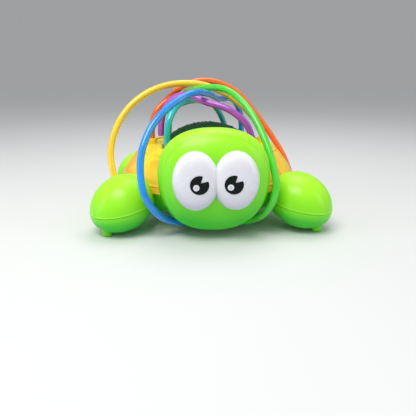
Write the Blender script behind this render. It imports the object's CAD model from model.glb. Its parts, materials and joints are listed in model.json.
import json
import math

import bmesh
import bpy
import numpy as np
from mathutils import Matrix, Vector
from mathutils.kdtree import KDTree


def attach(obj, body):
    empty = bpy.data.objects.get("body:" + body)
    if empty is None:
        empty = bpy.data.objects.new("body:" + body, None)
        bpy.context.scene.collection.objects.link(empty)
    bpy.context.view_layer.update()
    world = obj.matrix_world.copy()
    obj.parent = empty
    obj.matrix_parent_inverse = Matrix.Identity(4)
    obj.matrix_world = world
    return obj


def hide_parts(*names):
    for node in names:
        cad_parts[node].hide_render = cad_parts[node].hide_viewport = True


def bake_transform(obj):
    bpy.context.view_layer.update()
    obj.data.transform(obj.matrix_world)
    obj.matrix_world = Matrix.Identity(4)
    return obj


# A spinning tortoise lawn sprinkler. The toy's lengths are in millimetres, measured from the rotor's axis and
# the floor, and to_row() turns them into metres in the row frame. The camera, the lamps, the floor and the
# materials are in metres. The tortoise looks along -Y.
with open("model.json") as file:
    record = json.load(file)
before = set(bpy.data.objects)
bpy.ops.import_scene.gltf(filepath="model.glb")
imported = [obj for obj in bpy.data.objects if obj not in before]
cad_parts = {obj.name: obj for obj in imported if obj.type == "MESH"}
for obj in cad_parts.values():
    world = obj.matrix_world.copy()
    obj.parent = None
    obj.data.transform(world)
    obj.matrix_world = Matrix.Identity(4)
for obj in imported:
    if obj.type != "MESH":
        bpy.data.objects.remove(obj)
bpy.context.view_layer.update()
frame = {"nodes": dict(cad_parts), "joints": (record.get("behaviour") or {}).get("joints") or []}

MM = 0.001
ROTOR = frame["joints"][0]["pos_m"]
scene = bpy.context.scene


# ------------------------------------------------------------------ camera, light and floor
CAMERA_PLACE = (-0.035, -0.545, 0.1725)
CAMERA_PITCH = 72.6
CAMERA_YAW = -3.65
CAMERA_LENS = 36.43
CAMERA_SENSOR = 36.0
CAMERA_NEAR = 0.01


def make_camera():
    data = bpy.data.cameras.new("camera")
    data.lens = CAMERA_LENS
    data.sensor_width = CAMERA_SENSOR
    data.clip_start = CAMERA_NEAR
    camera = bpy.data.objects.new("camera", data)
    camera.location = CAMERA_PLACE
    camera.rotation_euler = (math.radians(CAMERA_PITCH), 0.0, math.radians(CAMERA_YAW))
    scene.collection.objects.link(camera)
    scene.camera = camera


# Each lamp: its place, its width and height in metres, its power in watts and its colour.
LIGHT_AIM = (0.0, -0.03, 0.06)
LAMPS = {
    "key": ((-0.30, -0.55, 1.05), (0.7, 0.5), 8.0, (1.0, 0.985, 0.95)),
    "top": ((0.15, 0.25, 1.2), (0.8, 0.8), 4.5, (1.0, 1.0, 1.0)),
    "left_strip": ((-0.95, -0.35, 0.45), (0.14, 0.9), 1.8, (1.0, 1.0, 1.0)),
    "right_fill": ((1.0, -0.45, 0.5), (0.3, 0.8), 1.5, (1.0, 1.0, 1.0)),
}


def make_lamp(name, place, size, power, colour):
    data = bpy.data.lights.new(name, "AREA")
    data.shape = "RECTANGLE"
    data.size, data.size_y = size
    data.energy = power
    data.color = colour
    light = bpy.data.objects.new(name, data)
    light.location = place
    light.rotation_euler = (Vector(LIGHT_AIM) - Vector(place)).to_track_quat("-Z", "Y").to_euler()
    scene.collection.objects.link(light)


# The surroundings fade from a grey wall to a pale sky, between two places on a ramp from below to above.
WALL_COLOUR = (0.69, 0.70, 0.71)
WALL_END = 0.15
SKY_COLOUR = (0.95, 0.97, 1.0)
SKY_START = 0.75
WORLD_STRENGTH = 0.50


def make_lights():
    for name, lamp in LAMPS.items():
        make_lamp(name, *lamp)
    world = bpy.data.worlds.new("studio")
    world.use_nodes = True
    nodes = world.node_tree.nodes
    links = world.node_tree.links
    background = nodes["Background"]
    where = nodes.new("ShaderNodeTexCoord")
    split = nodes.new("ShaderNodeSeparateXYZ")
    ramp = nodes.new("ShaderNodeValToRGB")
    ramp.color_ramp.elements[0].position = WALL_END
    ramp.color_ramp.elements[0].color = (*WALL_COLOUR, 1.0)
    ramp.color_ramp.elements[1].position = SKY_START
    ramp.color_ramp.elements[1].color = (*SKY_COLOUR, 1.0)
    links.new(where.outputs["Generated"], split.inputs[0])
    links.new(split.outputs["Z"], ramp.inputs[0])
    links.new(ramp.outputs[0], background.inputs["Color"])
    background.inputs["Strength"].default_value = WORLD_STRENGTH
    scene.world = world


FLOOR_REACH = 6.0
FLOOR_COLOUR = (0.75, 0.76, 0.76)
FLOOR_ROUGHNESS = 0.75


def make_floor():
    mesh = bpy.data.meshes.new("floor")
    corners = [(x * FLOOR_REACH, y * FLOOR_REACH, 0) for x, y in ((-1, -1), (1, -1), (1, 1), (-1, 1))]
    mesh.from_pydata(corners, [], [(0, 1, 2, 3)])
    floor = bpy.data.objects.new("floor", mesh)
    scene.collection.objects.link(floor)
    paper = bpy.data.materials.new("pale_floor")
    paper.use_nodes = True
    shader = paper.node_tree.nodes["Principled BSDF"]
    shader.inputs["Base Color"].default_value = (*FLOOR_COLOUR, 1.0)
    shader.inputs["Roughness"].default_value = FLOOR_ROUGHNESS
    mesh.materials.append(paper)


# ------------------------------------------------------------------ materials
class Nodes:
    """A material's node tree, with short ways to add to it."""

    def __init__(self, name):
        self.material = bpy.data.materials.new(name)
        self.material.use_nodes = True
        self.tree = self.material.node_tree
        self.shader = self.tree.nodes["Principled BSDF"]
        self.where = self.add("ShaderNodeTexCoord").outputs["Object"]

    def add(self, kind):
        return self.tree.nodes.new(kind)

    def link(self, source, target):
        self.tree.links.new(source, target)

    def set(self, **values):
        for name, value in values.items():
            self.shader.inputs[name.replace("_", " ")].default_value = value

    def noise(self, scale, detail=3.0):
        texture = self.add("ShaderNodeTexNoise")
        texture.inputs["Scale"].default_value = scale
        texture.inputs["Detail"].default_value = detail
        self.link(self.where, texture.inputs["Vector"])
        return texture.outputs["Fac"]

    def ramp(self, source, stops):
        """Colours at places along a value from 0 to 1."""
        ramp = self.add("ShaderNodeValToRGB")
        elements = ramp.color_ramp.elements
        while len(elements) < len(stops):
            elements.new(0.5)
        for element, (position, colour) in zip(elements, stops):
            element.position = position
            element.color = (*colour, 1.0)
        self.link(source, ramp.inputs[0])
        return ramp.outputs[0]

    def fit(self, source, low, high, to_low=0.0, to_high=1.0):
        """A value moved from one range to another."""
        fit = self.add("ShaderNodeMapRange")
        for name, value in zip(("From Min", "From Max", "To Min", "To Max"), (low, high, to_low, to_high)):
            fit.inputs[name].default_value = value
        self.link(source, fit.inputs["Value"])
        return fit.outputs[0]

    def mix(self, share, first, second):
        """Two colours mixed, each of them and the share a constant or a socket."""
        mix = self.add("ShaderNodeMix")
        mix.data_type = "RGBA"
        for slot, value in (("Factor_Float", share), ("A_Color", first), ("B_Color", second)):
            socket = next(s for s in mix.inputs if s.identifier == slot)
            if isinstance(value, bpy.types.NodeSocket):
                self.link(value, socket)
            else:
                socket.default_value = value if slot == "Factor_Float" else (*value, 1.0)
        return next(s for s in mix.outputs if s.identifier == "Result_Color")

    def part(self, source, axis):
        split = self.add("ShaderNodeSeparateXYZ")
        self.link(source, split.inputs[0])
        return split.outputs[axis]

    def upward(self):
        """How much a surface faces up, from -1 to 1."""
        return self.part(self.add("ShaderNodeNewGeometry").outputs["Normal"], "Z")

    def bump(self, height, strength, distance):
        bump = self.add("ShaderNodeBump")
        bump.inputs["Strength"].default_value = strength
        bump.inputs["Distance"].default_value = distance
        self.link(height, bump.inputs["Height"])
        self.link(bump.outputs[0], self.shader.inputs["Normal"])

    def gloss(self, scale, low, high):
        """Roughness that drifts between two values."""
        self.link(self.fit(self.noise(scale), 0.3, 0.7, low, high), self.shader.inputs["Roughness"])


# Texture scales of moulded plastic, from the broad flow of the melt down to the grain of the skin.
FLOW_SCALE = 14.0
MOTTLE_SCALE = 45.0
GLOSS_SCALE = 60.0
GRAIN_SCALE = 900.0
GRAIN_STRENGTH = 0.12
GRAIN_DEPTH = 0.0004
DEEPER = 0.86
CREST_HEIGHTS = (0.060, 0.094)


def moulded(name, top, side, under, roughness, coat=0.3, glow=0.0, mottle=0.0, mottle_colour=None,
            specular=0.5, crest=None):
    """Injection-moulded plastic: its colour deepens away from the light, drifts a little with the flow of
    the plastic, and its skin has a fine grain. A crest colour takes over towards the top of the shell."""
    tree = Nodes(name)
    facing = tree.fit(tree.upward(), -0.5, 0.8)
    colour = tree.ramp(facing, [(0.0, under), (0.42, side), (1.0, top)])
    if crest:
        colour = tree.mix(tree.fit(tree.part(tree.where, "Z"), *CREST_HEIGHTS), colour, crest)
    flow = tree.fit(tree.noise(FLOW_SCALE, 4.0), 0.35, 0.7)
    deeper = tuple(DEEPER * channel for channel in side)
    share = tree.fit(flow, 0.0, 1.0, 0.0, 0.22)
    colour = tree.mix(share, colour, deeper)
    if mottle:
        patches = tree.fit(tree.noise(MOTTLE_SCALE, 5.0), 0.48, 0.66, 0.0, mottle)
        colour = tree.mix(patches, colour, mottle_colour)
    tree.link(colour, tree.shader.inputs["Base Color"])
    tree.gloss(GLOSS_SCALE, roughness - 0.05, roughness + 0.07)
    tree.bump(tree.noise(GRAIN_SCALE, 2.0), GRAIN_STRENGTH, GRAIN_DEPTH)
    tree.set(Coat_Weight=coat, Coat_Roughness=0.08, Subsurface_Weight=glow, Subsurface_Scale=0.006)
    tree.set(Specular_IOR_Level=specular, Subsurface_Radius=(1.0, 1.0, 0.4))
    return tree.material


def vinyl(name, bright, deep):
    """Soft glossy hose: clear gloss over an even colour, with faint drawing marks and scuffs."""
    flow_scale, scuff_scale, mark_scale = 30.0, 240.0, 420.0
    tree = Nodes(name)
    flow = tree.fit(tree.noise(flow_scale, 4.0), 0.3, 0.7)
    colour = tree.ramp(flow, [(0.0, deep), (1.0, bright)])
    tree.link(colour, tree.shader.inputs["Base Color"])
    tree.gloss(scuff_scale, 0.16, 0.26)
    tree.bump(tree.noise(mark_scale, 2.0), 0.06, 0.0005)
    tree.set(Coat_Weight=0.6, Coat_Roughness=0.05, Subsurface_Weight=0.12, Subsurface_Scale=0.003)
    tree.set(Subsurface_Radius=(1.0, 1.0, 1.0))
    return tree.material


def metal(name, colour, roughness):
    """Zinc-plated steel, lightly brushed and a little stained."""
    stain_scale, wear_scale, brush_scale = 260.0, 500.0, 2200.0
    tree = Nodes(name)
    stain = tree.fit(tree.noise(stain_scale, 4.0), 0.4, 0.75, 0.0, 0.5)
    darker = tuple(0.7 * channel for channel in colour)
    tree.link(tree.mix(stain, colour, darker), tree.shader.inputs["Base Color"])
    tree.gloss(wear_scale, roughness - 0.08, roughness + 0.1)
    tree.bump(tree.noise(brush_scale, 2.0), 0.15, 0.0002)
    tree.set(Metallic=1.0)
    return tree.material


def rubber(name, colour):
    """Matt black rubber with a trace of dust."""
    dust_scale, wear_scale, skin_scale = 350.0, 300.0, 1500.0
    tree = Nodes(name)
    dust = tree.fit(tree.noise(dust_scale, 4.0), 0.5, 0.8, 0.0, 0.35)
    lighter = tuple(channel + 0.05 for channel in colour)
    tree.link(tree.mix(dust, colour, lighter), tree.shader.inputs["Base Color"])
    tree.gloss(wear_scale, 0.55, 0.7)
    tree.bump(tree.noise(skin_scale, 2.0), 0.2, 0.0003)
    return tree.material


LIME = moulded("lime_plastic", (0.46, 0.96, 0.018), (0.24, 0.84, 0.018), (0.020, 0.56, 0.018), 0.32, coat=0.1,
               glow=0.04, specular=0.35)
SHELL = moulded("shell_plastic", (1.0, 0.66, 0.035), (1.0, 0.52, 0.028), (0.95, 0.26, 0.014), 0.34, coat=0.15,
                glow=0.04, mottle=0.55, mottle_colour=(1.0, 0.36, 0.015), specular=0.35,
                crest=(1.0, 0.80, 0.030))
CROWN = moulded("crown_plastic", (1.0, 0.82, 0.030), (1.0, 0.72, 0.028), (0.98, 0.42, 0.018), 0.34, coat=0.15,
                glow=0.04, mottle=0.35, mottle_colour=(1.0, 0.50, 0.015), specular=0.35)
DOME = moulded("dome_plastic", (0.002, 0.060, 0.016), (0.001, 0.040, 0.012), (0.001, 0.018, 0.007), 0.24,
               coat=0.0, specular=0.10)
WHITE = moulded("eye_white", (0.90, 0.90, 0.92), (0.80, 0.80, 0.87), (0.58, 0.58, 0.72), 0.24, coat=0.3)
BLACK = moulded("pupil_black", (0.006, 0.012, 0.012), (0.005, 0.010, 0.010), (0.004, 0.008, 0.008), 0.40,
                coat=0.0, specular=0.12)
GREY = moulded("glint_grey", (0.42, 0.43, 0.45), (0.38, 0.39, 0.41), (0.34, 0.35, 0.37), 0.4, coat=0.0)
INNER = moulded("inner_plastic", (0.62, 0.63, 0.60), (0.55, 0.56, 0.54), (0.45, 0.46, 0.44), 0.45, coat=0.0)
INLET = moulded("inlet_plastic", (0.020, 0.16, 0.05), (0.016, 0.13, 0.04), (0.010, 0.09, 0.03), 0.35)
RUBBER = rubber("seal_rubber", (0.012, 0.012, 0.012))
STEEL = metal("screw_steel", (0.62, 0.63, 0.64), 0.32)
HOSE_COLOURS = {
    "yellow": ((1.0, 0.72, 0.035), (1.0, 0.60, 0.020)),
    "orange": ((1.0, 0.20, 0.018), (0.95, 0.14, 0.010)),
    "blue": ((0.012, 0.32, 0.88), (0.008, 0.22, 0.76)),
    "green": ((0.090, 0.72, 0.035), (0.060, 0.58, 0.025)),
    "purple": ((0.50, 0.10, 0.62), (0.38, 0.065, 0.50)),
    "teal": ((0.012, 0.54, 0.54), (0.008, 0.44, 0.45)),
}


# ------------------------------------------------------------------ ways to make a mesh
def to_row(points):
    """Millimetres from the rotor's axis as metres in the row frame."""
    place = np.array([ROTOR[0], ROTOR[1], 0.0])
    return np.asarray(points, float) * MM + place


def piece(name, points, faces, body, slot, materials, stands_for=()):
    """A smooth piece that rides on a body, from points in millimetres."""
    mesh = bpy.data.meshes.new(name)
    mesh.from_pydata(to_row(points).tolist(), [], [tuple(face) for face in faces])
    mesh.update()
    return finished(name, mesh, body, materials, stands_for)


def face_outwards(mesh):
    """Turn a closed mesh's faces outwards."""
    soft = bmesh.new()
    soft.from_mesh(mesh)
    bmesh.ops.recalc_face_normals(soft, faces=soft.faces)
    soft.to_mesh(mesh)
    soft.free()


CREASE_ANGLE = 40.0


def finished(name, mesh, body, materials, stands_for=()):
    """Turn a mesh's faces outwards, shade it, and let it ride on its body."""
    face_outwards(mesh)
    mesh.polygons.foreach_set("use_smooth", [True] * len(mesh.polygons))
    mesh.set_sharp_from_angle(angle=math.radians(CREASE_ANGLE))
    for material in materials:
        mesh.materials.append(material)
    obj = bpy.data.objects.new(name, mesh)
    scene.collection.objects.link(obj)
    if body:
        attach(obj, body)
    if stands_for:
        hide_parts(*stands_for)
    return obj


def grid_faces(rows, columns, wrap_rows=False):
    """The quads of a grid of points, row by row, where each row is a ring."""
    faces = []
    for row in range(rows if wrap_rows else rows - 1):
        for column in range(columns):
            next_row = (row + 1) % rows
            next_column = (column + 1) % columns
            faces.append((row * columns + column, row * columns + next_column,
                          next_row * columns + next_column, next_row * columns + column))
    return faces


def capped(rings):
    """Points and faces of a closed form made of rings, each end closed by a fan to its middle."""
    rings = np.asarray(rings, float)
    rows, columns = rings.shape[:2]
    points = rings.reshape(-1, 3)
    ends = np.array([rings[0].mean(0), rings[-1].mean(0)])
    faces = grid_faces(rows, columns)
    first, last = len(points), len(points) + 1
    for column in range(columns):
        following = (column + 1) % columns
        faces.append((following, column, first))
        base = (rows - 1) * columns
        faces.append((base + column, base + following, last))
    return np.vstack([points, ends]), faces


def joined(*forms):
    """Several (points, faces) forms as one."""
    points, faces, count = [], [], 0
    for form_points, form_faces in forms:
        points.append(np.asarray(form_points, float))
        faces += [tuple(corner + count for corner in face) for face in form_faces]
        count += len(form_points)
    return np.vstack(points), faces


FILLET_SHARE = 0.48  # the most of a side that one corner's rounding takes


def rounded(corners, steps=6, closed=True):
    """An outline of (radius, height, fillet) corners with its corners rounded."""
    outline = []
    count = len(corners)
    for index, (x, y, fillet) in enumerate(corners):
        here = np.array([x, y], float)
        inner = 0 < index < count - 1
        if fillet <= 0 or not (closed or inner):
            outline.append(here)
            continue
        before = np.array(corners[index - 1][:2], float) - here
        after = np.array(corners[(index + 1) % count][:2], float) - here
        reach = min(fillet, FILLET_SHARE * np.linalg.norm(before), FILLET_SHARE * np.linalg.norm(after))
        start = here + before / np.linalg.norm(before) * reach
        end = here + after / np.linalg.norm(after) * reach
        for step in range(steps + 1):
            share = step / steps
            outline.append((1 - share) ** 2 * start + 2 * share * (1 - share) * here + share ** 2 * end)
    return np.array(outline)


def smooth_line(corners, per_run):
    """A curve through (radius, height) corners, rounded by Catmull and Rom's rule."""
    points = np.asarray(corners, float)
    padded = np.vstack([2 * points[0] - points[1], points, 2 * points[-1] - points[-2]])
    line = []
    for index in range(1, len(padded) - 2):
        p0, p1, p2, p3 = padded[index - 1:index + 3]
        for step in range(per_run):
            t = step / per_run
            line.append(0.5 * (2 * p1 + (p2 - p0) * t + (2 * p0 - 5 * p1 + 4 * p2 - p3) * t ** 2
                               + (3 * p1 - p0 - 3 * p2 + p3) * t ** 3))
    line.append(points[-1])
    return np.array(line)


def outward(line):
    """The direction out of a (radius, height) line at each of its points, on the right of its run."""
    ahead = np.gradient(line, axis=0)
    ahead /= np.linalg.norm(ahead, axis=1)[:, None]
    return np.stack([ahead[:, 1], -ahead[:, 0]], -1)


def bearings(count):
    """Angles spread evenly round a circle."""
    return 2 * math.pi * np.arange(count) / count


def revolved(outline, count=192, at=(0.0, 0.0)):
    """A closed outline of (radius, height) turned about an upright axis."""
    angle = bearings(count)
    outline = np.asarray(outline, float)
    x = outline[:, :1] * np.cos(angle) + at[0]
    y = outline[:, :1] * np.sin(angle) + at[1]
    z = np.repeat(outline[:, 1:], count, axis=1)
    points = np.stack([x, y, z], -1).reshape(-1, 3)
    return points, grid_faces(len(outline), count, wrap_rows=True)


def solid_mesh(name, form):
    """A loose object of a closed form, for cutting."""
    mesh = bpy.data.meshes.new(name)
    points, faces = form
    mesh.from_pydata(to_row(points).tolist(), [], [tuple(face) for face in faces])
    face_outwards(mesh)
    obj = bpy.data.objects.new(name, mesh)
    scene.collection.objects.link(obj)
    return obj


def carved(name, form, steps):
    """The mesh of a form after other forms are added to it or cut out of it, one (way, form) at a time."""
    base = solid_mesh(name + "_form", form)
    tools = []
    for number, (way, cutter) in enumerate(steps):
        tool = solid_mesh("%s_tool_%d" % (name, number), cutter)
        modifier = base.modifiers.new("step_%d" % number, "BOOLEAN")
        modifier.operation = way
        modifier.solver = "EXACT"
        modifier.object = tool
        tools.append(tool)
    bpy.context.view_layer.update()
    graph = bpy.context.evaluated_depsgraph_get()
    mesh = bpy.data.meshes.new_from_object(base.evaluated_get(graph))
    for obj in (base, *tools):
        bpy.data.objects.remove(obj)
    mesh.name = name
    return mesh


PIN_SIDES = 32
PIN_EDGE_RINGS = 4


def pin(radius, x, y, low, high, edge=0.0):
    """An upright round bar, its ends rounded by edge."""
    angle = bearings(PIN_SIDES)
    rings = []
    for share in np.linspace(0.0, 1.0, PIN_EDGE_RINGS if edge else 1):
        inset = edge * (1 - math.sin(share * math.pi / 2))
        lift = edge * (1 - math.cos(share * math.pi / 2))
        rings.append((radius - inset, low + lift))
    rings += [(ring_radius, high - (height - low)) for ring_radius, height in reversed(rings)]
    points = [[(x + r * math.cos(a), y + r * math.sin(a), z) for a in angle] for r, z in rings]
    return capped(points)


def polar(radius, bearing):
    """A place at a radius and a bearing in degrees."""
    return radius * math.cos(math.radians(bearing)), radius * math.sin(math.radians(bearing))


# ------------------------------------------------------------------ hoses
# Each hose: the bearing of its socket on the crown, and its route's corners from the socket's top.
HOSE_RADIUS = 4.0
HOSE_BORE = 2.6
HOSE_BORE_DEPTH = 9.0
HOSE_EDGE = 0.35
HOSE_SIDES = 24
SOCKET_CIRCLE = 73.0
SOCKET_FLOOR = 88.6
SOCKET_TOP = 95.0
HOSES = {
    "yellow": (0, [
        (68, 1, 112), (54, 3, 128), (36, 4, 144), (16, 5, 155), (-14, 7, 165), (-60, 4, 162),
        (-99, -11, 139), (-120, -26, 103), (-123, -38, 68), (-114, -47, 42),
    ]),
    "blue": (45, [
        (51.6, 51.6, 115), (44, 43, 135), (32, 27, 145), (15, 4, 143), (3, -20, 151), (-21, -60, 157),
        (-61, -88, 132), (-79, -110, 96), (-78, -123, 60), (-70, -125, 41), (-59, -116, 25),
        (-46, -103, 15), (-33, -92, 10),
    ]),
    "green": (135, [
        (-51.6, 51.6, 114), (-46, 45, 133), (-35, 29, 148), (-14, -7, 158), (19, -34, 160.5),
        (44, -66, 138), (60, -96, 101), (68.5, -117, 63), (65, -120, 43), (58, -114, 27), (48, -104, 16),
        (36, -93, 10),
    ]),
    "orange": (180, [
        (-73, 0, 114), (-65, 3, 132), (-50, 11, 145), (-31, 24, 162), (3, 35, 169), (42, 41, 155),
        (71, 42, 122), (96, 38, 88), (114, 36, 60), (123, 34, 35),
    ]),
    "teal": (225, [
        (-51.6, -51.6, 115), (-45, -44, 132), (-35, -29, 142), (-12, 6, 143), (9, 34, 137),
        (23, 51, 119), (30, 60, 99),
    ]),
    "purple": (315, [
        (48, -51, 112), (35, -48, 127), (17, -42, 138), (-5, -34, 142), (-26, -23, 153),
        (-48, -9, 145), (-61, 2, 121), (-61, 3, 98),
    ]),
}


def spline_line(name, corners):
    """The points of the NURBS spline that has these corners, in millimetres."""
    curve = bpy.data.curves.new(name, "CURVE")
    curve.dimensions = "3D"
    spline = curve.splines.new("NURBS")
    spline.points.add(len(corners) - 1)
    for point, corner in zip(spline.points, corners):
        point.co = (*corner, 1.0)
    spline.order_u = 3
    spline.use_endpoint_u = True
    spline.resolution_u = 20
    holder = bpy.data.objects.new(name, curve)
    scene.collection.objects.link(holder)
    mesh = bpy.data.meshes.new_from_object(holder)
    line = np.array([vertex.co for vertex in mesh.vertices])
    bpy.data.objects.remove(holder)
    bpy.data.meshes.remove(mesh)
    return line


def frames_along(line):
    """A line's direction at each of its points, and two directions across it, without twist."""
    ahead = np.gradient(line, axis=0)
    ahead /= np.linalg.norm(ahead, axis=1)[:, None]
    across = np.cross(ahead[0], (0.0, 0.0, 1.0))
    if np.linalg.norm(across) < 0.1:  # the line starts almost straight up
        across = np.cross(ahead[0], (0.0, 1.0, 0.0))
    sideways = []
    for direction in ahead:
        across = across - direction * (across @ direction)
        across = across / np.linalg.norm(across)
        sideways.append(across)
    sideways = np.array(sideways)
    return ahead, sideways, np.cross(ahead, sideways)


def tube(line, outer, bore, depth, edge):
    """A hose along a line, closed at its near end and hollow for a short depth at its far end."""
    ahead, across, upward = frames_along(line)
    angle = bearings(HOSE_SIDES)
    circle = np.cos(angle)[:, None, None] * across + np.sin(angle)[:, None, None] * upward
    circle = circle.transpose(1, 0, 2)
    rings = [line[row] + outer * circle[row] for row in range(len(line))]
    tip = line[-1]
    rings[-1] = tip - ahead[-1] * edge + outer * circle[-1]
    rings.append(tip + (outer - edge) * circle[-1])
    rings.append(tip + (bore + edge) * circle[-1])
    rings.append(tip - ahead[-1] * edge + bore * circle[-1])
    rings.append(tip - ahead[-1] * depth + bore * circle[-1])
    return capped(rings)


def make_hose(colour, bearing, corners):
    x, y = polar(SOCKET_CIRCLE, bearing)
    line = spline_line("route_" + colour, [(x, y, SOCKET_TOP), *corners])
    line = np.vstack([[(x, y, SOCKET_FLOOR), (x, y, (SOCKET_FLOOR + SOCKET_TOP) / 2)], line])
    points, faces = tube(line, HOSE_RADIUS, HOSE_BORE, HOSE_BORE_DEPTH, HOSE_EDGE)
    name = "hose_" + colour
    material = vinyl("vinyl_" + colour, *HOSE_COLOURS[colour])
    hose = piece("tube_" + colour, points, faces, None, name, [material], [name])
    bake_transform(hose)


# ------------------------------------------------------------------ head and eyes
HEAD_HALF_WIDTH = 61.0
HEAD_MIDDLE_Y = -108.0
HEAD_FRONT_DEPTH = 31.0
HEAD_REAR_DEPTH = 28.0
HEAD_MIDDLE_HEIGHT = 64.0
HEAD_RISE = 57.0
HEAD_DROP = 56.0
HEAD_SEAM_Y = -123.0
SQUARENESS = 2.35
FLARE = 0.05
HEAD_COLUMNS = 160
HEAD_POLE = 0.02
FACE_RINGS = 44
NAPE_RINGS = 60
SEAM_RINGS = 10
# Offsets from the seam: where the coarse rings of the face end and its fine ones run, then the same for the
# nape, from the seam backwards.
FACE_STRETCHES = (-2.4, -2.3, -0.25)
NAPE_STRETCHES = (0.05, 2.5, 2.7)
LIP_HEIGHT = 1.0
LIP_SETBACK = 1.3
LIP_WIDTH = 1.2
GROOVE_DEPTH = 0.8
GROOVE_WIDTH = 1.1


def power(value, exponent):
    """A power that keeps the sign of its base."""
    return np.sign(value) * np.abs(value) ** exponent


def head_rings(low, high, rows, swell):
    """Rings of the head's surface between two depth angles. swell(y) moves the surface outwards."""
    rings = []
    angle = bearings(HEAD_COLUMNS)
    across = power(np.cos(angle), 2 / SQUARENESS)
    upward = power(np.sin(angle), 2 / SQUARENESS)
    for depth_angle in np.linspace(low, high, rows):
        share = power(math.sin(depth_angle), 2 / SQUARENESS)
        fullness = abs(math.cos(depth_angle)) ** (2 / SQUARENESS)
        depth = HEAD_FRONT_DEPTH if share < 0 else HEAD_REAR_DEPTH
        y = HEAD_MIDDLE_Y + share * depth
        out = swell(y)
        height = np.where(upward > 0, HEAD_RISE, HEAD_DROP)
        x = (HEAD_HALF_WIDTH + out) * fullness * across * (1 + FLARE * upward)
        z = HEAD_MIDDLE_HEIGHT + (height + out) * fullness * upward
        rings.append(np.stack([x, np.full(HEAD_COLUMNS, y), z], -1))
    return rings


def seam_angle(y):
    """The depth angle at which the head's surface crosses a plane of constant Y."""
    depth = HEAD_FRONT_DEPTH if y < HEAD_MIDDLE_Y else HEAD_REAR_DEPTH
    share = (y - HEAD_MIDDLE_Y) / depth
    return math.asin(power(share, SQUARENESS / 2))


def lip_swell(y):
    """The raised lip round the edge of the face."""
    return LIP_HEIGHT * math.exp(-(((y - HEAD_SEAM_Y) + LIP_SETBACK) / LIP_WIDTH) ** 2)


def groove_swell(y):
    """The groove that the nape's edge leaves behind the lip."""
    return -GROOVE_DEPTH * math.exp(-((y - HEAD_SEAM_Y) / GROOVE_WIDTH) ** 2)


def make_head():
    pole = math.pi / 2 - HEAD_POLE
    coarse_end, fine_start, edge = (seam_angle(HEAD_SEAM_Y + offset) for offset in FACE_STRETCHES)
    face = head_rings(-pole, coarse_end, FACE_RINGS, lip_swell)
    face += head_rings(fine_start, edge, SEAM_RINGS, lip_swell)
    piece("face_half", *capped(face), "base", "lime_plastic", [LIME], ["head_front"])
    edge, fine_end, coarse_start = (seam_angle(HEAD_SEAM_Y + offset) for offset in NAPE_STRETCHES)
    nape = head_rings(edge, fine_end, SEAM_RINGS, groove_swell)
    nape += head_rings(coarse_start, pole, NAPE_RINGS, groove_swell)
    piece("nape_half", *capped(nape), "base", "lime_plastic", [LIME], ["head_rear"])


EYE_SIDE = 20.8
EYE_HEIGHT = 69.4
EYE_HALF_WIDTH = 24.4
EYE_HALF_HEIGHT = 31.0
EYE_MIDDLE_Y = -133.0
EYE_DEPTH = 15.0
EYE_FULLNESS = 3.0
EYE_SKIRT = 9.0
EYE_COLUMNS = 144
EYE_RINGS = 30


def eye_front(reach):
    """Y of an eye's front at a share of the way from its middle to its edge."""
    return EYE_MIDDLE_Y - EYE_DEPTH * np.maximum(0.0, 1 - reach ** EYE_FULLNESS) ** (1 / EYE_FULLNESS)


def eye_surface(x, z, side):
    """Y of an eye's front at a place."""
    return eye_front(math.hypot((x - side * EYE_SIDE) / EYE_HALF_WIDTH, (z - EYE_HEIGHT) / EYE_HALF_HEIGHT))


def eye_lobe(side):
    """One eye's front, cut off at the middle of the face, with a skirt that sinks into the head."""
    rings = []
    angle = bearings(EYE_COLUMNS)
    across = np.cos(angle)
    towards = np.maximum(-side * across, 1e-9)
    limit = np.minimum(1.0, EYE_SIDE / (EYE_HALF_WIDTH * towards))
    for row in range(1, EYE_RINGS + 1):
        spread = math.sin(row / EYE_RINGS * math.pi / 2)
        reach = spread * limit
        x = side * EYE_SIDE + reach * EYE_HALF_WIDTH * across
        z = EYE_HEIGHT + reach * EYE_HALF_HEIGHT * np.sin(angle)
        rings.append(np.stack([x, eye_front(reach), z], -1))
    skirt = rings[-1].copy()
    skirt[:, 1] = EYE_MIDDLE_Y + EYE_SKIRT
    rings.append(skirt)
    return capped(rings)


def make_eyes():
    mesh = carved("eyes", eye_lobe(-1), [("UNION", eye_lobe(1))])
    finished("eyes", mesh, "base", [WHITE], ["eye_plate"])
    for name, side in (("left", -1), ("right", 1)):
        make_pupil(name, side)


PUPIL_SIDE = 17.4
PUPIL_HEIGHT = 68.2
PUPIL_RADIUS = 9.7
PUPIL_HEART = (-2.4, -1.6)
PUPIL_LIFT = 0.5
PUPIL_SKIN = 0.7
PUPIL_STEPS = 72
WEDGE_LOW = 24.0
WEDGE_HIGH = 69.5
WEDGE_APEX = (1.15, 2.2)
WEDGE_CORNER = 1.4
WEDGE_APEX_CORNER = 0.8
DECAL_RINGS = 7
# Spots of light on a pupil, one over the other: radius, lift above the eye and material.
GLINT_PLACE = (-3.4, -2.4)
GLINT_SKIN = 0.55
GLINT_SIDES = 40
GLINTS = {
    "glint": (3.2, 0.8, WHITE),
    "glint_ring": (1.25, 0.9, GREY),
    "glint_dot": (0.8, 1.0, WHITE),
}


def pupil_outline():
    """A disc with a wedge missing from its upper right, its corners rounded."""
    turn = np.radians(np.linspace(WEDGE_HIGH, WEDGE_LOW + 360.0, PUPIL_STEPS))
    corners = [(PUPIL_RADIUS * math.cos(a), PUPIL_RADIUS * math.sin(a), 0.0) for a in turn]
    corners[0] = (*corners[0][:2], WEDGE_CORNER)
    corners[-1] = (*corners[-1][:2], WEDGE_CORNER)
    corners.append((*WEDGE_APEX, WEDGE_APEX_CORNER))
    spaced = [corners[0], *corners[3:-4], corners[-2], corners[-1]]
    return rounded(spaced, steps=5)


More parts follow.
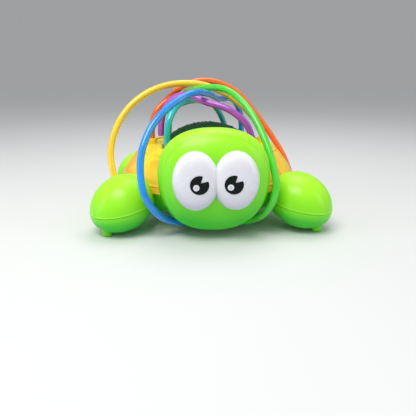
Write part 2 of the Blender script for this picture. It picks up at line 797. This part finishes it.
def decal(outline, heart, side, lift, thickness):
    """A thin closed skin that lies on an eye, round a heart that sees its whole outline."""
    heart = np.array(heart)
    shares = [ring / DECAL_RINGS for ring in range(1, DECAL_RINGS + 1)]
    places = [heart + (outline - heart) * share for share in shares]
    layers = []
    for height in (lift, lift - thickness):
        for ring in places if height == lift else reversed(places):
            points = []
            for u, w in ring:
                x, z = side * PUPIL_SIDE + u, PUPIL_HEIGHT + w
                points.append((x, eye_surface(x, z, side) - height, z))
            layers.append(points)
    return capped(layers)


def make_pupil(name, side):
    black = decal(pupil_outline(), PUPIL_HEART, side, PUPIL_LIFT, PUPIL_SKIN)
    piece("pupil_disc_" + name, *black, "base", "pupil_black", [BLACK], ["pupil_" + name])
    circle = np.stack([np.cos(bearings(GLINT_SIDES)), np.sin(bearings(GLINT_SIDES))], -1)
    for label, (radius, lift, material) in GLINTS.items():
        spot = decal(GLINT_PLACE + radius * circle, GLINT_PLACE, side, lift, GLINT_SKIN)
        piece(label + "_" + name, *spot, "base", "eye_white", [material])


# ------------------------------------------------------------------ feet
FOOT_HALF_LENGTH = 38.5
FOOT_HALF_WIDTH = 34.5
FOOT_RISE = 34.8
FOOT_DROP = 28.0
FOOT_MIDDLE = 30.8
FOOT_LEAN = 5.2
FOOT_TILT = 9.75
FOOT_BEAD = 0.45
FOOT_BEAD_HEIGHT = 0.9
FOOT_BEAD_WIDTH = 0.8
FOOT_GAP = 0.12
FOOT_COLUMNS = 96
FEET = {
    "front_left": (-103.0, -87.5),
    "front_right": (103.0, -87.5),
    "rear_left": (-96.0, 76.0),
    "rear_right": (96.0, 76.0),
}
NUB_REACH = 23.0
NUB_RADIUS = 5.5
NUB_TOP = 10.0
NUB_EDGE = 1.2
FOOT_SCREW_REACH = (-21.5, 10.0)
FOOT_SCREW_BORE = 3.4
FOOT_SCREW_START = -5.0
FOOT_SCREW_SEAT = 18.0


def foot_rings(x, y, upper):
    """Rings of a foot's half, from its seam to its pole, with a bead along the seam. The foot is an egg that
    leans towards the body, and its outer end dips."""
    bearing = math.atan2(y, x)
    dip = math.radians(FOOT_TILT)
    rise = FOOT_RISE if upper else -FOOT_DROP
    gap = math.copysign(FOOT_GAP, rise)
    bead = FOOT_BEAD if upper else 0.0
    angle = bearings(FOOT_COLUMNS)
    near_seam = np.linspace(0.0, 0.10, 12)
    to_pole = np.linspace(0.13, math.pi / 2 - 0.01, 30)
    rings = []
    for tilt in (*near_seam, *to_pole):
        level = rise * math.sin(tilt)
        out = bead * math.exp(-((level - FOOT_BEAD_HEIGHT) / FOOT_BEAD_WIDTH) ** 2)
        along = (FOOT_HALF_LENGTH + out) * math.cos(tilt) * np.cos(angle) - FOOT_LEAN * level / FOOT_RISE
        across = (FOOT_HALF_WIDTH + out) * math.cos(tilt) * np.sin(angle)
        level = gap + level * (1 - abs(gap / rise))
        outwards = along * math.cos(dip) + level * math.sin(dip)
        rings.append(np.stack([
            x + outwards * math.cos(bearing) - across * math.sin(bearing),
            y + outwards * math.sin(bearing) + across * math.cos(bearing),
            FOOT_MIDDLE - along * math.sin(dip) + level * math.cos(dip),
        ], -1))
    return rings


def along_leg(x, y, reach):
    """A place that is further out than a foot's middle, on the line from the rotor's axis."""
    length = math.hypot(x, y)
    return x * (1 + reach / length), y * (1 + reach / length)


def make_foot(name, x, y):
    cap = capped(foot_rings(x, y, True))
    piece("foot_top_" + name, *cap, "base", "lime_plastic", [LIME], ["foot_cap_" + name])
    nub = pin(NUB_RADIUS, *along_leg(x, y, NUB_REACH), 0.0, NUB_TOP, edge=NUB_EDGE)
    bores = [pin(FOOT_SCREW_BORE, *along_leg(x, y, reach), FOOT_SCREW_START, FOOT_SCREW_SEAT)
             for reach in FOOT_SCREW_REACH]
    mesh = carved("foot_sole_" + name, capped(foot_rings(x, y, False)),
                  [("UNION", nub), *(("DIFFERENCE", bore) for bore in bores)])
    finished("foot_sole_" + name, mesh, "base", [LIME], ["foot_bowl_" + name])


# ------------------------------------------------------------------ shell
SHELL_LINE = [(113.2, 45.6), (111.6, 51.0), (105.6, 61.5), (97.0, 73.0), (88.8, 83.0), (83.6, 89.4)]
SHELL_WALL = 2.4
SHELL_MOUTH = 79.2
SHELL_TOP = 90.5
SHELL_LAND = 1.6
SHELL_INSET = 2.0
SHELL_FOOT = 44.9
SHELL_LIP = 0.2
SHELL_COLUMNS = 720
PLATES = 10
PLATE_START = -144.0
PLATE_LOW = 7.5
PLATE_HIGH = 46.0
PLATE_CORNER = 9.0
RIDGE_HEIGHT = 1.1
RIDGE_WIDTH = 0.9
PLATE_SWELL = 1.1
SWELL_START = 1.0
SWELL_RUN = 7.0


def plate_relief(bearing, along, radius):
    """How far the shell stands out: a raised ridge round each rounded plate, and a swelling inside it."""
    step = 360.0 / PLATES
    place = (np.degrees(bearing) - PLATE_START) % step - step / 2
    across = np.abs(np.radians(place) * radius)
    half = math.radians(step / 2) * radius
    middle = (PLATE_LOW + PLATE_HIGH) / 2
    tall = (PLATE_HIGH - PLATE_LOW) / 2
    u = across - (half - PLATE_CORNER)
    w = np.abs(along - middle) - (tall - PLATE_CORNER)
    outside = np.hypot(np.maximum(u, 0), np.maximum(w, 0)) + np.minimum(np.maximum(u, w), 0) - PLATE_CORNER
    ridge = RIDGE_HEIGHT * np.exp(-(outside / RIDGE_WIDTH) ** 2)
    inside = np.clip((-outside - SWELL_START) / SWELL_RUN, 0.0, 1.0)
    swell = PLATE_SWELL * inside * inside * (3 - 2 * inside)
    return ridge + swell


def make_shell():
    line = smooth_line(SHELL_LINE, per_run=18)
    normal = outward(line)
    along = np.concatenate([[0.0], np.cumsum(np.linalg.norm(np.diff(line, axis=0), axis=1))])
    angle = bearings(SHELL_COLUMNS)
    relief = plate_relief(angle[None, :], along[:, None], line[:, :1])
    radius = line[:, :1] + normal[:, :1] * relief
    height = line[:, 1:] + normal[:, 1:] * relief
    foot, head = line[0], line[-1]
    mouth = rounded([
        (*head, 0), (SHELL_MOUTH + SHELL_LAND, SHELL_TOP, 1.2), (SHELL_MOUTH, SHELL_TOP, 0.6),
        (SHELL_MOUTH, SHELL_TOP - SHELL_WALL, 0.4), (head[0] - SHELL_INSET, SHELL_TOP - SHELL_WALL, 0),
    ], closed=False)
    inner = line[::-4] - normal[::-4] * SHELL_WALL
    lip = rounded([
        (*inner[-1], 0), (foot[0] - SHELL_WALL, SHELL_FOOT, 0.6), (foot[0] + SHELL_LIP, SHELL_FOOT, 0.9),
        (*foot, 0),
    ], closed=False)
    rest = np.vstack([mouth[1:], inner[1:-1], lip[:-1]])
    radius = np.vstack([radius, np.repeat(rest[:, :1], SHELL_COLUMNS, axis=1)])
    height = np.vstack([height, np.repeat(rest[:, 1:], SHELL_COLUMNS, axis=1)])
    points = np.stack([radius * np.cos(angle), radius * np.sin(angle), height], -1).reshape(-1, 3)
    faces = grid_faces(len(radius), SHELL_COLUMNS, wrap_rows=True)
    piece("carapace", points, faces, "base", "shell_plastic", [SHELL], ["shell"])


# ------------------------------------------------------------------ belly pan
PAN_LINE = [(60.0, 12.0), (74.0, 12.3), (85.0, 14.6), (95.5, 20.6), (102.6, 28.5), (106.2, 37.0),
            (108.0, 45.0), (108.4, 48.8)]
PAN_WALL = 2.4
PAN_FLOOR = 12.0
PAN_FLAT = 30.0
PAN_MIDDLE = 0.05  # the outline stops this far from the axis, so that no face shrinks to nothing
SHELL_SCREWS = [polar(88.0, bearing) for bearing in (0.0, 72.0, 108.0, 180.0)]
SHELL_SCREW_BORE = 3.4
SHELL_SCREW_SPAN = (5.0, 20.0)
POST_RADIUS = 5.0
POST_LOW = 13.0
POST_HIGH = 40.0
INLET_HEIGHT = 31.0
INLET_BORE = 8.1
INLET_BOSS_RADIUS = 14.0
INLET_BOSS_START = 88.5
INLET_BOSS_END = 106.5


def make_belly():
    line = smooth_line(PAN_LINE, per_run=8)
    inner = line - outward(line) * PAN_WALL
    floor_top = PAN_FLOOR + PAN_WALL
    outline = np.vstack([[(PAN_MIDDLE, PAN_FLOOR), (PAN_FLAT, PAN_FLOOR)], line, inner[::-1],
                         [(PAN_FLAT, floor_top), (PAN_MIDDLE, floor_top)]])
    bores = [pin(SHELL_SCREW_BORE, *place, *SHELL_SCREW_SPAN) for place in SHELL_SCREWS]
    mesh = carved("belly", revolved(outline), [("DIFFERENCE", bore) for bore in bores])
    finished("belly", mesh, "base", [LIME], ["belly_pan"])
    wall = [(SHELL_SCREW_BORE, POST_LOW), (POST_RADIUS, POST_LOW), (POST_RADIUS, POST_HIGH),
            (SHELL_SCREW_BORE, POST_HIGH)]
    posts = [revolved(wall, 32, place) for place in SHELL_SCREWS]
    piece("belly_posts", *joined(*posts), "base", "lime_plastic", [LIME])
    points, faces = revolved(rounded([
        (INLET_BORE, INLET_BOSS_START, 0), (INLET_BOSS_RADIUS, INLET_BOSS_START, 0),
        (INLET_BOSS_RADIUS, INLET_BOSS_END, 1.2), (INLET_BORE, INLET_BOSS_END, 0.5),
    ]), 64)
    turned = np.stack([points[:, 0], points[:, 2], points[:, 1] + INLET_HEIGHT], -1)
    piece("inlet_boss", turned, faces, "base", "lime_plastic", [LIME])


# ------------------------------------------------------------------ crown and dome
CROWN_RADIUS = 78.0
CROWN_BORE = 14.5
CROWN_FLOOR = 86.4
CROWN_EDGE = 0.6
TOWER_RADIUS = 6.8
TOWER_FOOT = CROWN_FLOOR + 0.4
TOWER_TOP = 95.5
# The tower's rounded top edge: how far in from its side and how far down from its top each ring lies.
TOWER_EDGE = ((0.0, 0.8), (0.12, 0.35), (0.35, 0.12), (0.8, 0.0))
NOTCH_RADIUS = 4.4
NOTCH_HEADROOM = 4.0
HAIR = 0.02  # keeps faces that are added or cut off each other's planes


def tower(bearing):
    """A round socket tower, flush with the crown's edge."""
    centre = np.array(polar(SOCKET_CIRCLE, bearing))
    angle = bearings(56)
    rings = []
    for inset, height in ((0.0, TOWER_FOOT), *((inset, TOWER_TOP - drop) for inset, drop in TOWER_EDGE)):
        spots = centre + (TOWER_RADIUS - inset) * np.stack([np.cos(angle), np.sin(angle)], -1)
        reach = np.hypot(spots[:, 0], spots[:, 1])
        spots *= np.minimum(1.0, (CROWN_RADIUS - HAIR - inset) / reach)[:, None]
        rings.append(np.column_stack([spots, np.full(len(spots), height)]))
    return capped(rings)


def notch(bearing):
    """A slot from a hose's place outwards, round at its inner end."""
    turn = math.radians(bearing)
    outwards = np.array([math.cos(turn), math.sin(turn)])
    sideways = np.array([-outwards[1], outwards[0]])
    outline = []
    for angle in np.linspace(math.pi / 2, 3 * math.pi / 2, 25):
        outline.append(outwards * (SOCKET_CIRCLE + NOTCH_RADIUS * math.cos(angle))
                       + sideways * NOTCH_RADIUS * math.sin(angle))
    for side in (-1, 1):
        outline.append(outwards * (SOCKET_CIRCLE + 2 * TOWER_RADIUS) + sideways * side * NOTCH_RADIUS)
    ends = (SOCKET_FLOOR + HAIR, TOWER_TOP + NOTCH_HEADROOM)
    rings = [[(*spot, height) for spot in outline] for height in ends]
    return capped(rings)


def make_crown():
    plate = revolved(rounded([
        (CROWN_BORE, CROWN_FLOOR, 0), (CROWN_RADIUS, CROWN_FLOOR, CROWN_EDGE),
        (CROWN_RADIUS, SOCKET_FLOOR, CROWN_EDGE), (CROWN_BORE, SOCKET_FLOOR, 0),
    ]), 256)
    sockets = [bearing for bearing, _ in HOSES.values()]
    mesh = carved("crown_plate", plate, [("UNION", joined(*map(tower, sockets))),
                                         ("DIFFERENCE", joined(*map(notch, sockets)))])
    finished("crown_plate", mesh, "rotor", [CROWN], ["crown"])


DOME_RADIUS = 57.0
DOME_RIM = 92.0
DOME_TOP = 115.0
DOME_SKIRT = 88.7
DOME_SKIRT_BEND = 90.5
DOME_INSIDE = 90.0
DOME_WALL = 2.4
DOME_COLUMNS = 360
DOME_RINGS = 92
DOME_POLE = 0.004
KNOBS = 440
KNOB_HEIGHT = 1.7
KNOB_REACH = 3.3
KNOB_SIZE = 0.65
KNOB_SPREAD = 0.35
KNOB_WAVES = (12.9898, 4.1)


def direction(tilt, turn):
    """The direction at a tilt from straight up and a turn about the axis."""
    return np.array([math.sin(tilt) * math.cos(turn), math.sin(tilt) * math.sin(turn), math.cos(tilt)])


def make_dome():
    """A shallow cap of a ball, covered in a spiral of uneven knobs."""
    rise = DOME_TOP - DOME_RIM
    ball = (DOME_RADIUS ** 2 + rise ** 2) / (2 * rise)
    widest = math.asin(DOME_RADIUS / ball)
    golden = math.pi * (3 - math.sqrt(5))
    centre = np.array([0.0, 0.0, DOME_TOP - ball])
    knobs = KDTree(KNOBS)
    sizes = []
    fast, slow = KNOB_WAVES
    for index in range(KNOBS):
        tilt = widest * math.sqrt((index + 0.5) / KNOBS)
        knobs.insert(centre + ball * direction(tilt, golden * index), index)
        sizes.append(KNOB_SIZE + KNOB_SPREAD * math.sin(index * fast) * math.cos(index * slow))
    knobs.balance()
    rings = []
    for tilt in np.linspace(DOME_POLE, widest, DOME_RINGS):
        ring = []
        for turn in bearings(DOME_COLUMNS):
            out = direction(tilt, turn)
            spot = centre + ball * out
            _, index, distance = knobs.find(spot)
            share = min(1.0, distance / KNOB_REACH)
            ring.append(spot + out * (KNOB_HEIGHT * sizes[index] * (1 - share ** 2)))
        rings.append(ring)
    inside = DOME_RADIUS - DOME_WALL
    rim = [(DOME_RADIUS, DOME_SKIRT_BEND), (DOME_RADIUS, DOME_SKIRT),
           (inside, DOME_SKIRT), (inside, DOME_INSIDE)]
    for radius, height in rim:
        rings.append([(radius * math.cos(a), radius * math.sin(a), height) for a in bearings(DOME_COLUMNS)])
    piece("knobbly_dome", *capped(rings), "rotor", "dome_plastic", [DOME], ["dome"])


# ------------------------------------------------------------------ CAD nodes that stay
KEPT = {
    "spindle": INNER, "manifold": INNER, "feed_pipe": INNER, "thrust_washer": INNER, "inlet_nut": INNER,
    "hose_spigot": INLET, "spigot_seal": RUBBER, "spindle_seal_lower": RUBBER, "spindle_seal_upper": RUBBER,
    "retaining_washer": STEEL, "retaining_screw": STEEL, "crown_screws": STEEL, "dome_screws": STEEL,
    "spindle_screws": STEEL, "shell_screws": STEEL, "head_screws": STEEL, "foot_screws": STEEL,
}


def finish_cad_nodes():
    """Give the parts inside, which the CAD model draws, their materials."""
    for name, material in KEPT.items():
        mesh = frame["nodes"][name].data
        mesh.materials.clear()
        mesh.materials.append(material)


# ------------------------------------------------------------------ build
scene.view_settings.view_transform = "Standard"
make_camera()
make_lights()
make_floor()
for hose_colour, (hose_bearing, hose_corners) in HOSES.items():
    make_hose(hose_colour, hose_bearing, hose_corners)
make_head()
make_eyes()
for foot, (foot_x, foot_y) in FEET.items():
    make_foot(foot, foot_x, foot_y)
make_shell()
make_belly()
make_crown()
make_dome()
finish_cad_nodes()

bpy.context.view_layer.update()
